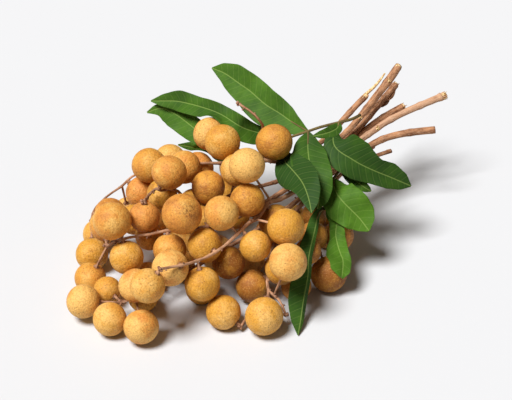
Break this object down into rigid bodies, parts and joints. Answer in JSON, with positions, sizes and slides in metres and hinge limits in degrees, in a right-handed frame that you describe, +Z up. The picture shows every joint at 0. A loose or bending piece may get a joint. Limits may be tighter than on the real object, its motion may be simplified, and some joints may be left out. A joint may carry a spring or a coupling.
{
  "type": "longan fruit bunch",
  "caption": "Bunch of longan lying on its side: round tan fruit on short stalks along brown woody branches, with long waved green leaves over the gathered cut stems.",
  "frame": {"origin": "on the floor under the middle of the bunch's box", "axes": "+X from the fruit towards the cut stems, +Y away from the front of the heap, +Z up"},
  "size_m": [0.2688, 0.2302, 0.1119],
  "materials": {
    "fruit_skin": "dry pebbled tan rind with fine darker specks",
    "leaf": "half-glossy green blade with a pale midrib and side veins",
    "bark": "dull pinkish brown bark with pale wood at the cuts"
  },
  "bodies": {
    "root": {"branch_1": "fruit_skin", "branch_2": "fruit_skin", "branch_3": "fruit_skin", "branch_4": "fruit_skin", "branch_5": "fruit_skin", "branch_6": "fruit_skin", "branch_7": "fruit_skin", "branch_8": "fruit_skin", "compound_leaf_1": "leaf", "compound_leaf_2": "leaf", "compound_leaf_3": "leaf"}
  },
  "joints": []
}
